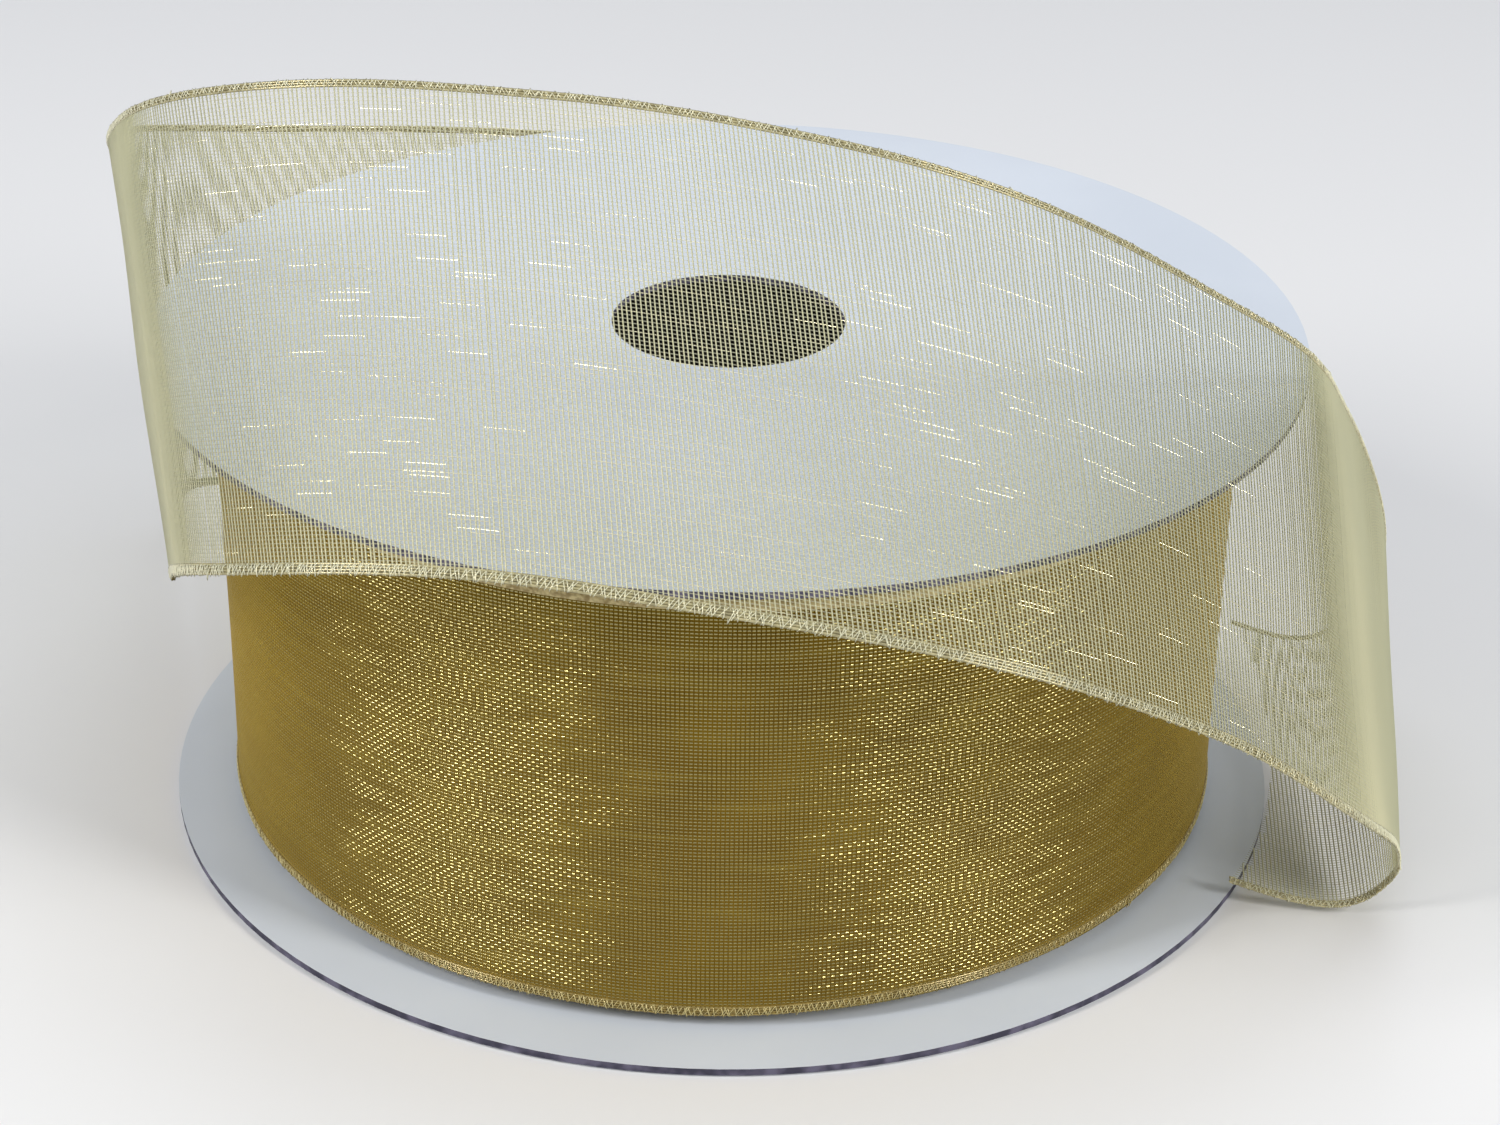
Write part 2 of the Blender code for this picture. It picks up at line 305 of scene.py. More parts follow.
def rim_cut(across):
    """Place at which the tail's end reaches the rim of the lower flange, found by halving."""
    low = np.full_like(across, CURL_PLACE)
    high = np.full_like(across, TAIL_END)
    for _ in range(HALVINGS):
        middle = (low + high) / 2
        point = flat_surface(middle, across)
        outside = np.hypot(point[..., 0] - AXIS[0], point[..., 1] - AXIS[1]) > RIM_CUT_RADIUS
        low = np.where(outside, middle, low)
        high = np.where(outside, high, middle)
    return high


def roll_cut(across):
    """Place at which the lead ends and the tail begins: where the ribbon leaves the roll."""
    return np.zeros_like(across)


# ---------------------------------------------------------------- mesh building


def new_object(name, points, faces, material, weave):
    """A smooth mesh object. weave holds the place in the weave's map of every corner of every face."""
    mesh = bpy.data.meshes.new(name)
    points = np.asarray(points, np.float64).reshape(-1, 3)
    faces = np.asarray(faces, np.int64)
    sides = faces.shape[1]
    mesh.vertices.add(len(points))
    mesh.vertices.foreach_set("co", points.astype(np.float32).ravel())
    mesh.loops.add(faces.size)
    mesh.loops.foreach_set("vertex_index", faces.astype(np.int32).ravel())
    mesh.polygons.add(len(faces))
    mesh.polygons.foreach_set("loop_start", np.arange(0, faces.size, sides, dtype=np.int32))
    mesh.update(calc_edges=True)
    mesh.validate()
    mesh.polygons.foreach_set("use_smooth", np.ones(len(faces), bool))
    layer = mesh.uv_layers.new(name="weave")
    layer.data.foreach_set("uv", np.asarray(weave, np.float32).ravel())
    obj = bpy.data.objects.new(name, mesh)
    bpy.context.scene.collection.objects.link(obj)
    mesh.materials.append(material)
    return obj


def grid_faces(rows, columns, wrap_rows=False, wrap_columns=False):
    """Four-sided faces between the points of a grid, which can close on itself either way."""
    i = np.arange(rows if wrap_rows else rows - 1)
    j = np.arange(columns if wrap_columns else columns - 1)
    i, j = [x.ravel() for x in np.meshgrid(i, j, indexing="ij")]
    a = i * columns + j
    b = ((i + 1) % rows) * columns + j
    c = ((i + 1) % rows) * columns + (j + 1) % columns
    d = i * columns + (j + 1) % columns
    return np.stack([a, b, c, d], 1)


def tube_parts(path, side, out, radius, sides=3, closed=False):
    """Ring points and faces of a thin thread along a path with its side and outward vectors."""
    angles = math.tau * np.arange(sides) / sides
    radius = np.broadcast_to(radius, path.shape[:1])[:, None, None]
    ring = np.cos(angles)[None, :, None] * side[:, None] + np.sin(angles)[None, :, None] * out[:, None]
    points = (path[:, None] + radius * ring).reshape(-1, 3)
    return points, grid_faces(len(path), sides, closed, True)


def join_parts(name, parts, material, marks):
    """One object from many threads. marks, one number for each thread, is written to its map."""
    points, faces, uv, count = [], [], [], 0
    for (part_points, part_faces), mark in zip(parts, marks):
        points.append(part_points)
        faces.append(part_faces + count)
        uv.append(np.full((len(part_points), 2), (mark, 0.0)))
        count += len(part_points)
    faces = np.concatenate(faces)
    return new_object(name, np.concatenate(points), faces, material, np.concatenate(uv)[faces])


# ---------------------------------------------------------------- materials

# Colours of the sheer band and its selvedges
SHEER_WARP = (0.69, 0.69, 0.51, 1)
SHEER_FLASH = (1.0, 0.92, 0.64, 1)
WEFT_TONE = (0.69, 0.70, 0.50, 1)
WEFT_GLOW = (0.72, 0.68, 0.40, 1)
STRAND_TONE = (0.56, 0.51, 0.29, 1)
WRAP_TONE = (0.92, 0.91, 0.68, 1)
GOLD_GLOSS = (1.0, 0.84, 0.50, 1)

# Colours of the wound cloth, from the painted shade in the gaps between its threads to their glints
GOLD_SHEEN = (0.98, 0.71, 0.20, 1)
# painted shade in the gaps between the threads
WOUND_GAP_SHADE = (0.045, 0.024, 0.001, 1)
WOUND_DARK = (0.130, 0.072, 0.003, 1)
WOUND_MIDDLE = (0.180, 0.108, 0.006, 1)
WOUND_LIGHT = (0.27, 0.19, 0.025, 1)
WOUND_FLASH = (0.49, 0.43, 0.195, 1)
WOUND_STRAND_TONE = (0.38, 0.28, 0.085, 1)
WOUND_WRAP_TONE = (0.76, 0.65, 0.30, 1)
WOUND_END_DARK = (0.30, 0.21, 0.06, 1)
WOUND_END_LIGHT = (0.62, 0.50, 0.22, 1)

# Colours of the spool
CARD_SHADE = (0.61, 0.66, 0.73, 1)
CARD_WHITE = (0.66, 0.71, 0.78, 1)
# Near black: painted shade inside the hub, over the bare board there
HUB_SHADE_BOARD = (0.035, 0.032, 0.03, 1)
CUT_DARK = (0.030, 0.028, 0.055, 1)
CUT_LIGHT = (0.12, 0.11, 0.17, 1)
# The kraft tube, darkened throughout to painted shade inside the hub; its seam is darker still
KRAFT_SHADE_DARK = (0.040, 0.033, 0.028, 1)
KRAFT_SHADE_LIGHT = (0.075, 0.062, 0.052, 1)
KRAFT_SEAM_SHADE = (0.02, 0.016, 0.013, 1)
TAPE_TONE = (0.80, 0.78, 0.68, 1)
GLUE_TONE = (0.82, 0.68, 0.40, 1)
FLOOR_TONE = (0.80, 0.80, 0.80, 1)

# Metallic warp threads, which shine in dashes: how long a dash is, the share of dashes that shine, the
# thread's width as a share of the pitch, and how far its normal leans with its roundness, with its waves
# over and under the weft, and at random on each dash
WOUND_DASHES = {
    "dash": 3.0 * MM,
    "share": 1.0,
    "width": 0.42,
    "shape": (1.1, 0.15, 0.13),
    "colour": WOUND_FLASH,
    "roughness": 0.18,
}
SHEER_DASHES = {
    "dash": 3.2 * MM,
    "share": 0.16,
    "width": 0.17,
    "shape": (0.5, 0.03, 0.30),
    "colour": SHEER_FLASH,
    "roughness": 0.16,
}

# They are broken once for each weft thread, and seen over this share of its pitch. Each row's dashes have a
# shift of their own, of up to so many dashes.
SEEN_SHARE = 0.7
DASH_SHIFT = 9.0
SHIFT_SEED = 3.7
LEAN_SEED = 1.3

# The layer seen through the outer turn's gaps, a little slanted and with a slightly wider weft. The painted
# shade in those gaps is deepest over this layer's own gaps.
LAYER_SLANT = 0.04
LAYER_WEFT_PITCH = 1.035 * WEFT_PITCH

# Grain sizes, as cycles in a metre
CLOTH_CLOUDS = 90.0
CLOTH_STREAKS = (60.0, 900.0, 1.0)
STRAND_GRAIN = 2200.0
ROLL_END_GRAIN = 2500.0
CARD_FIBRE = 900.0
CARD_MOTTLE = 35.0
CARD_TEAR = 450.0
KRAFT_GRAIN = 700.0

CLOTH_BUMP = 0.05 * MM
CARD_BUMP = 0.03 * MM
KRAFT_STRIP = 22 * MM
SEAM_START = 0.985
HUB_RADIUS = TUBE_RADIUS - 0.5 * MM


class Shader:
    """A material's node tree, with short calls for the nodes that the materials here use."""

    def __init__(self, name):
        self.material = bpy.data.materials.new(name)
        self.material.use_nodes = True
        self.tree = self.material.node_tree
        self.tree.nodes.clear()
        self.output = self.tree.nodes.new("ShaderNodeOutputMaterial")

    def put(self, socket, value):
        if isinstance(value, bpy.types.NodeSocket):
            self.tree.links.new(value, socket)
        else:
            socket.default_value = value

    def node(self, kind, inputs=(), **settings):
        node = self.tree.nodes.new(kind)
        for key, value in settings.items():
            setattr(node, key, value)
        for key, value in dict(inputs).items():
            self.put(node.inputs[key], value)
        return node

    def math(self, operation, a, b=0.0):
        return self.node("ShaderNodeMath", {0: a, 1: b}, operation=operation).outputs[0]

    def times(self, a, b):
        return self.math("MULTIPLY", a, b)

    def plus(self, a, b):
        return self.math("ADD", a, b)

    def minus(self, a, b):
        return self.math("SUBTRACT", a, b)

    def over(self, a, b):
        return self.math("DIVIDE", a, b)

    def vector(self, operation, a, b=(0.0, 0.0, 0.0)):
        return self.node("ShaderNodeVectorMath", {0: a, 1: b}, operation=operation).outputs[0]

    def scaled(self, vector, factor):
        return self.node("ShaderNodeVectorMath", {0: vector, 3: factor}, operation="SCALE").outputs[0]

    def size(self, vector):
        return self.node("ShaderNodeVectorMath", {0: vector}, operation="LENGTH").outputs["Value"]

    def split(self, vector):
        return self.node("ShaderNodeSeparateXYZ", {0: vector}).outputs

    def combined(self, x, y, z=0.0):
        return self.node("ShaderNodeCombineXYZ", {0: x, 1: y, 2: z}).outputs[0]

    def blend(self, factor, a, b):
        """Mixes two colours."""
        node = self.node("ShaderNodeMix", data_type="RGBA")
        self.put(node.inputs[0], factor)
        self.put(node.inputs[6], a)
        self.put(node.inputs[7], b)
        return node.outputs[2]

    def band(self, value, low, high):
        """0 below low, 1 above high and smooth between."""
        limits = {0: value, 1: low, 2: high}
        return self.node("ShaderNodeMapRange", limits, interpolation_type="SMOOTHSTEP").outputs[0]

    def weave_place(self):
        """Distance along the ribbon, and distance across it, in metres."""
        place = self.split(self.node("ShaderNodeUVMap", uv_map="weave").outputs[0])
        return place[0], place[1]

    def spot(self):
        """The point's place in its piece at rest, in metres."""
        return self.node("ShaderNodeTexCoord").outputs["Object"]

    def noise(self, vector, scale, detail=2.0):
        grain = {"Vector": vector, "Scale": scale, "Detail": detail}
        return self.node("ShaderNodeTexNoise", grain).outputs[0]

    def random(self, x, y, z=0.0):
        """A random number for each whole-number cell."""
        cell = self.combined(self.math("FLOOR", x), self.math("FLOOR", y), z)
        return self.node("ShaderNodeTexWhiteNoise", {"Vector": cell}).outputs[0]

    def bump(self, height, strength, distance):
        relief = {"Height": height, "Strength": strength, "Distance": distance}
        return self.node("ShaderNodeBump", relief).outputs[0]

    def principled(self, colour, roughness, **more):
        node = self.node("ShaderNodeBsdfPrincipled")
        self.put(node.inputs["Base Color"], colour)
        self.put(node.inputs["Roughness"], roughness)
        for key, value in more.items():
            self.put(node.inputs[key.replace("_", " ")], value)
        return node.outputs[0]

    def translucent(self, colour):
        return self.node("ShaderNodeBsdfTranslucent", {"Color": colour}).outputs[0]

    def mix(self, factor, a, b):
        """Mixes two shaders."""
        return self.node("ShaderNodeMixShader", {0: factor, 1: a, 2: b}).outputs[0]

    def finish(self, surface):
        self.tree.links.new(surface, self.output.inputs[0])
        return self.material


def thread_side(shader, value, pitch):
    """Place across a thread: -1 and 1 half-way to its neighbours, 0 on its middle."""
    place = shader.math("FRACT", shader.over(value, pitch))
    return shader.times(shader.minus(place, 0.5), 2.0)


def thread_profile(shader, value, pitch):
    """Distance from a thread's middle: 0 there, 1 half-way to its neighbours."""
    return shader.math("ABSOLUTE", thread_side(shader, value, pitch))


def thread_normal(shader, along_lean, across_lean):
    """The sheet's normal, leant along the ribbon and across it."""
    normal = shader.node("ShaderNodeNewGeometry").outputs["Normal"]
    along = shader.node("ShaderNodeTangent", direction_type="UV_MAP", uv_map="weave").outputs[0]
    across = shader.vector("CROSS_PRODUCT", normal, along)
    normal = shader.vector("ADD", normal, shader.scaled(along, along_lean))
    normal = shader.vector("ADD", normal, shader.scaled(across, across_lean))
    return shader.vector("NORMALIZE", normal)


def flashing(shader, u, v, dash, share, width, shape, colour, roughness, **more):
    """Round shiny warp threads, on a share of short dashes and broken at each weft thread.

    Returns 1 where such a thread shows, and its shader.
    """
    roundness, waves, wander = shape
    row = shader.math("FLOOR", shader.over(v, WARP_PITCH))
    shift = shader.times(shader.random(row, SHIFT_SEED), DASH_SHIFT)
    cell = shader.plus(shader.over(u, dash), shift)
    chosen = shader.math("GREATER_THAN", shader.random(cell, row), 1 - share)
    side = thread_side(shader, v, WARP_PITCH)
    free = shader.math("LESS_THAN", thread_profile(shader, u, WEFT_PITCH), SEEN_SHARE)
    on_thread = shader.math("LESS_THAN", shader.math("ABSOLUTE", side), width)
    shown = shader.times(chosen, shader.times(free, on_thread))
    wave = shader.plus(shader.over(u, WEFT_PITCH), row)
    wave = shader.math("SINE", shader.times(wave, math.pi))
    chance = shader.minus(shader.random(cell, row, LEAN_SEED), 0.5)
    along_lean = shader.plus(shader.times(chance, 2 * wander), shader.times(wave, waves))
    across_lean = shader.times(side, roundness / width)
    normal = thread_normal(shader, along_lean, across_lean)
    return shown, shader.principled(colour, roughness, Normal=normal, **more)


def wound_tone(shader, u, v, weft, warp):
    """Colour of the wound cloth: cloudy, streaked gold, and darker gold in its thread-sized gaps as painted
    shade, deepest where the layer beneath has a gap too.
    """
    slanted = shader.plus(u, shader.times(v, LAYER_SLANT))
    under = thread_profile(shader, slanted, LAYER_WEFT_PITCH)
    place = shader.combined(u, v)
    streaks = shader.noise(shader.vector("MULTIPLY", place, CLOTH_STREAKS), 1.0, detail=3.0)
    clouds = shader.noise(place, CLOTH_CLOUDS, detail=3.0)
    # painted shade in the gaps between the threads, up to twice as dark over the gaps of the layer beneath
    weft_gap_shade = shader.times(shader.band(weft, 0.4, 0.8), 0.6)
    warp_gap_shade = shader.times(shader.band(warp, 0.5, 0.8), 0.5)
    gap_shade = shader.math("MAXIMUM", weft_gap_shade, warp_gap_shade)
    shade_depth = shader.plus(0.5, shader.times(shader.band(under, 0.3, 0.7), 0.5))
    tone = shader.blend(shader.band(clouds, 0.3, 0.7), WOUND_DARK, WOUND_MIDDLE)
    tone = shader.blend(shader.times(shader.band(streaks, 0.45, 0.7), 0.4), tone, WOUND_LIGHT)
    return shader.blend(shader.times(gap_shade, shade_depth), tone, WOUND_GAP_SHADE)


def wound_cloth(shader, u, v):
    """Many layers of the sheer band: rich gold cloth under bright metallic warp threads."""
    weft = thread_profile(shader, u, WEFT_PITCH)
    warp = thread_profile(shader, v, WARP_PITCH)
    tone = wound_tone(shader, u, v, weft, warp)
    height = shader.minus(1.0, shader.times(weft, warp))
    relief = shader.bump(height, strength=0.5, distance=CLOTH_BUMP)
    sheen = {"Specular_IOR_Level": 0.0, "Sheen_Weight": 0.8, "Sheen_Tint": GOLD_SHEEN}
    cloth = shader.principled(tone, roughness=0.6, Normal=relief, **sheen)
    metal = {"Metallic": 1.0, "Specular_Tint": GOLD_SHEEN}
    spark, flash = flashing(shader, u, v, **WOUND_DASHES, **metal)
    return shader.mix(spark, cloth, flash)


def sheer_cloth(shader, u, v):
    """The warp of a single layer: half-clear threads with nothing between, and a few bright dashes."""
    across = thread_profile(shader, v, WARP_PITCH)
    thread = shader.minus(1.0, shader.band(across, 0.18, 0.34))
    cloth = shader.principled(SHEER_WARP, roughness=0.42, Specular_Tint=GOLD_GLOSS)
    body = shader.mix(0.35, cloth, shader.translucent(SHEER_WARP))
    spark, flash = flashing(shader, u, v, **SHEER_DASHES, Metallic=0.8)
    cover = shader.math("MAXIMUM", shader.times(thread, 0.5), shader.times(spark, 0.8))
    clear = shader.node("ShaderNodeBsdfTransparent").outputs[0]
    return shader.mix(cover, clear, shader.mix(spark, body, flash))


def organza():
    """The band: sheer where it is free, and like the roll where it still lies on it."""
    shader = Shader("organza_warp")
    u, v = shader.weave_place()
    laid = shader.band(u, 0.0, -2 * LAID_FADE)
    return shader.finish(shader.mix(laid, sheer_cloth(shader, u, v), wound_cloth(shader, u, v)))


def wound_organza():
    """The wall of the roll."""
    shader = Shader("wound_organza")
    u, v = shader.weave_place()
    return shader.finish(wound_cloth(shader, u, v))


def yarn(shader, tone, glow, roughness, share):
    """Bright yarn that lets a share of the light through."""
    cloth = shader.principled(tone, roughness, IOR=2.1, Specular_Tint=GOLD_GLOSS)
    return shader.finish(shader.mix(share, cloth, shader.translucent(glow)))


def weft_material():
    """The crosswise threads: pale where the ribbon is free, and gold where it lies on the roll."""
    shader = Shader("organza_weft")
    laid = shader.band(shader.weave_place()[0], 1.5 * LAID_FADE, -LAID_FADE)
    tone = shader.blend(laid, WEFT_TONE, WOUND_MIDDLE)
    glow = shader.blend(laid, WEFT_GLOW, WOUND_MIDDLE)
    return yarn(shader, tone, glow, roughness=0.30, share=0.32)


def edge_material(name, strand, wrap):
    """A selvedge: duller strands, and the bright threads over them, which are marked by 1 in the map."""
    shader = Shader(name)
    worn = tuple(0.6 * channel for channel in strand[:3]) + (1,)
    grain = shader.band(shader.noise(shader.spot(), STRAND_GRAIN), 0.35, 0.65)
    tone = shader.blend(shader.weave_place()[0], shader.blend(grain, worn, strand), wrap)
    return yarn(shader, tone, strand, roughness=0.15, share=0.15)


def roll_edge_material():
    """The roll's ends, where the selvedges of all its turns lie side by side."""
    shader = Shader("wound_selvedges")
    grain = shader.band(shader.noise(shader.spot(), ROLL_END_GRAIN), 0.3, 0.7)
    tone = shader.blend(grain, WOUND_END_DARK, WOUND_END_LIGHT)
    return shader.finish(shader.principled(tone, roughness=0.45, Specular_IOR_Level=0.6))


def card_material(name, inward):
    """White coated card with a dark cut edge. Where it closes the hub its board is bare and painted near
    black, as painted shade inside the hub.

    inward is 1 if the hub is above the card, and -1 if it is below.
    """
    shader = Shader(name)
    spot = shader.spot()
    upward = shader.split(shader.node("ShaderNodeNewGeometry").outputs["Normal"])[2]
    edge = shader.math("LESS_THAN", shader.math("ABSOLUTE", upward), 0.5)
    from_axis = shader.vector("SUBTRACT", spot, (AXIS[0], AXIS[1], 0))
    radius = shader.size(shader.vector("MULTIPLY", from_axis, (1, 1, 0)))
    # painted shade: the card's faces inside the hub are painted near black
    faces_in = shader.math("GREATER_THAN", shader.times(upward, inward), 0.5)
    hub = shader.times(shader.math("LESS_THAN", radius, HUB_RADIUS), faces_in)
    mottle = shader.band(shader.noise(spot, CARD_MOTTLE, detail=3.0), 0.3, 0.7)
    torn = shader.band(shader.noise(spot, CARD_TEAR, detail=3.0), 0.4, 0.62)
    face = shader.blend(hub, shader.blend(mottle, CARD_SHADE, CARD_WHITE), HUB_SHADE_BOARD)
    colour = shader.blend(edge, face, shader.blend(torn, CUT_DARK, CUT_LIGHT))
    fibre = shader.noise(spot, CARD_FIBRE, detail=4.0)
    relief = shader.bump(fibre, strength=0.12, distance=CARD_BUMP)
    return shader.finish(shader.principled(colour, roughness=0.58, Normal=relief))


def kraft_material():
    """Board wound from a strip, with its spiral seam, all darkened as painted shade inside the hub."""
    shader = Shader("wound_kraft_painted_shade")
    spot = shader.spot()
    x, y, z = shader.split(spot)
    turn = shader.over(shader.math("ARCTAN2", y, x), math.tau)
    climb = shader.math("FRACT", shader.plus(shader.over(z, KRAFT_STRIP), turn))
    seam = shader.times(shader.math("GREATER_THAN", climb, SEAM_START), 0.7)
    # painted shade: the kraft's grain is darkened throughout
    shaded_paper = shader.blend(shader.noise(spot, KRAFT_GRAIN, detail=4.0), KRAFT_SHADE_DARK, KRAFT_SHADE_LIGHT)
    colour = shader.blend(seam, shaded_paper, KRAFT_SEAM_SHADE)
    return shader.finish(shader.principled(colour, roughness=0.9))


def plain_material(name, colour, roughness, **more):
    shader = Shader(name)
    return shader.finish(shader.principled(colour, roughness, **more))


# ---------------------------------------------------------------- ribbon pieces


def band_sheet(name, start, end, steps, material):
    """One stretch of the sheer band as a single sheet, with its weave measured along its own length."""
    lengthwise, crosswise = steps
    inset = 0.5 * SELVEDGE_WIDTH / RIBBON_WIDTH
    across = np.linspace(inset, 1 - inset, crosswise)
    share = np.linspace(0, 1, lengthwise)[:, None]
    place = start + (end(across)[None] - start) * share
    across = np.broadcast_to(across, place.shape)
    faces = grid_faces(*place.shape)
    weave = np.stack([length_at(place), across * RIBBON_WIDTH], -1).reshape(-1, 2)
    return new_object(name, surface(place, across), faces, material, weave[faces])


def weft_threads(name, start, end, samples, material):
    """The crosswise threads of a stretch. Each is cut off where the band ends."""
    inset = 0.7 * SELVEDGE_WIDTH / RIBBON_WIDTH
    across = np.linspace(inset, 1 - inset, samples)
    last = end(across)
    first_thread = math.ceil(length_at(start) / WEFT_PITCH)
    last_thread = math.floor(length_at(last.max()) / WEFT_PITCH)
    parts, lengths = [], []
    for k in range(first_thread, last_thread + 1):
        length = k * WEFT_PITCH + WEFT_UNEVEN * RNG.normal()
        place = np.full(samples, place_at(length))
        radius = WEFT_RADIUS * np.clip((length + 2 * LAID_FADE) / LAID_FADE, 0.1, 1)
        kept = np.flatnonzero(place <= last)
        if len(kept) < 2:
            continue
        runs = np.split(kept, np.flatnonzero(np.diff(kept) > 1) + 1)
        along, up, out = directions(place, across)
        path = surface(place, across)
        for run in runs:
            if len(run) > 1:
                parts.append(tube_parts(path[run], along[run], out[run], radius))
                lengths.append(length)
    return join_parts(name, parts, material, lengths)


def strand_parts(path_of, length, width, closed):
    """The strands of a flat selvedge, side by side. Where one waves up, its neighbours wave down."""
    s = np.linspace(0, length, int(length / STRAND_WAVE), endpoint=not closed)
    point, along, outward, normal = path_of(s)
    strands = round(width / STRAND_PITCH)
    parts = []
    for k in range(strands):
        inset = (k + 0.6) / strands * width
        wave = STRAND_SWING * np.sin(math.pi * s / STRAND_WAVE + math.pi * k + 0.4)
        path = point - inset * outward + wave[:, None] * normal
        part = tube_parts(path, outward, FLATTENING * normal, STRAND_RADIUS, sides=4, closed=closed)
        parts.append(part)
    return parts


def wrap_part(path_of, length, width, closed, slant):
    """A thin thread that winds round the strands, a little unevenly, with a few stray loops."""
    turns = int(length / WRAP_PITCH)
    t = np.arange(turns * WRAP_POINTS) / WRAP_POINTS
    side = np.cos(math.tau * t)
    lift = WRAP_LIFT * np.sin(math.tau * t)
    uneven = np.interp(t, np.arange(turns), WRAP_UNEVEN * RNG.normal(size=turns))
    place = t / turns * length
    fade = np.clip(np.minimum(place, length - place) / WRAP_FADE, 0, 1)
    point, along, outward, normal = path_of(place + fade * (uneven + slant * side))
    loop = np.clip(1 + LOOP_SPREAD * RNG.normal(size=turns), *LOOP_LIMITS)
    stray = RNG.random(turns) > 1 - STRAY_SHARE
    least, most_more = STRAY_REACH
    loop = np.where(stray, least + most_more * RNG.random(turns), loop).repeat(WRAP_POINTS)
    reach = (np.where(side > 0, loop, 1.0) * side - 1) * width / 2
    path = point + reach[:, None] * outward + lift[:, None] * normal
    return tube_parts(path, along, normal, WRAP_RADIUS, closed=closed)


def woven_edge(name, path_of, length, width, material, closed=False):
    """A selvedge on a path measured by its length: its strands, and two threads that cross over them.

    path_of gives points, directions along, outward in the cloth, and out of the cloth, at any length.
    """
    strands = strand_parts(path_of, length, width, closed)
    wraps = [wrap_part(path_of, length, width, closed, slant) for slant in (WRAP_SLANT, -WRAP_SLANT)]
    marks = [0.0] * len(strands) + [1.0] * len(wraps)
    return join_parts(name, strands + wraps, material, marks)


def tail_edge(name, upper, start, end, material):
    """The corded selvedge along one side of a stretch of the ribbon."""
    across = 1.0 if upper else 0.0
    first = float(length_at(start))
    last = float(length_at(end(np.array([across]))[0]))

    def path_of(s):
        place = place_at(first + s)
        v = np.full_like(place, across)
        along, up, normal = directions(place, v)
        return surface(place, v), along, up if upper else -up, normal

    width = UPPER_SELVEDGE_WIDTH if upper else SELVEDGE_WIDTH
    return woven_edge(name, path_of, last - first, width, material)


def roll_edge(name, height, upward, material):
    """The corded selvedge of the roll's outermost turn. It doesn't run quite level."""
    radius = ROLL_RADIUS - EDGE_INSET
    slow, quick = EDGE_WOBBLE

    def path_of(s):
        angle = s / radius
        wobble = slow * np.sin(3 * angle + 1) + quick * np.sin(11 * angle)
        out = np.stack([np.cos(angle), np.sin(angle), np.zeros_like(angle)], -1)
        along = np.stack([-np.sin(angle), np.cos(angle), np.zeros_like(angle)], -1)
        up = np.broadcast_to(np.array([0, 0, 1.0 if upward else -1.0]), out.shape)
        point = radius * out + np.array([AXIS[0], AXIS[1], height])
        return point + wobble[:, None] * up, along, up, out

    return woven_edge(name, path_of, math.tau * radius, SELVEDGE_WIDTH, material, closed=True)


def wall_slack(angle, height):
    """How far the roll's wall stands out of true at an angle and a share of its height."""
    slow, quick = WALL_SLACK
    return slow * np.sin(3 * angle + 5 * height) + quick * np.sin(7 * angle - 3 * height + 1)


def end_drop(angle, radial, bore):
    """How far the roll's ends lie below its edges: its turns are a spiral of ridges of uneven height."""
    pitch = (ROLL_RADIUS - bore) / RIDGES
    phase = (radial - bore) / pitch + angle / math.tau
    ridge = np.abs(np.sin(math.pi * phase)) ** RIDGE_FULLNESS
    uneven = np.sin(1.9 * radial / MM + 0.7 * np.sin(angle * 2)) * np.cos(0.53 * radial / MM + 1)
    drop = RIDGE_DEPTH * (1 - ridge) + RIDGE_SINK + RIDGE_UNEVEN * uneven
    fade = np.clip((ROLL_RADIUS - radial) / END_ROUNDING, 0, 1)
    return drop * fade + END_SINK


def closed_weave(weave, faces):
    """The weave's map at each face's corners. Faces on the seam run on to a full turn, not back to 0."""
    corners = weave[faces]
    along = corners[..., 0]
    on_seam = along.max(1) - along.min(1) > math.pi * ROLL_RADIUS
    behind = on_seam[:, None] & (along < math.pi * ROLL_RADIUS)
    corners[..., 0] = np.where(behind, along + math.tau * ROLL_RADIUS, along)
    return corners


def wound_roll(name, material, end_material):
    """The wound ribbon as one ring: a slightly uneven wall, with the turns as ridges above and below."""
    bore = TUBE_RADIUS + BORE_GAP
    angle = math.tau * np.arange(ROUND_STEPS)[:, None] / ROUND_STEPS
    radial = np.linspace(ROLL_RADIUS, bore, RIDGES * RIDGE_POINTS + 1)[None] + 0 * angle
    drop = end_drop(angle, radial, bore)
    wall_z = np.linspace(ROLL_TOP, ROLL_BASE, WALL_STEPS)[None, 1:-1] + 0 * angle
    share = (wall_z - ROLL_BASE) / (ROLL_TOP - ROLL_BASE)
    wall_radius = ROLL_RADIUS + wall_slack(angle, share) + wall_bow(share)
    radius = np.concatenate([wall_radius, radial, radial[:, ::-1]], 1)
    z = np.concatenate([wall_z, ROLL_BASE + drop, ROLL_TOP - drop[:, ::-1]], 1)
    points = np.stack([AXIS[0] + radius * np.cos(angle), AXIS[1] + radius * np.sin(angle), z], -1)
    weave = np.stack([angle * ROLL_RADIUS + 0 * z, z], -1).reshape(-1, 2)
    faces = grid_faces(*z.shape, True, True)[:, ::-1]
    obj = new_object(name, points, faces, material, closed_weave(weave, faces))
    obj.data.materials.append(end_material)
    column = np.arange(len(faces)) % z.shape[1]
    on_end = column > wall_z.shape[1] - 1
    obj.data.polygons.foreach_set("material_index", on_end.astype(np.int32))
    return obj


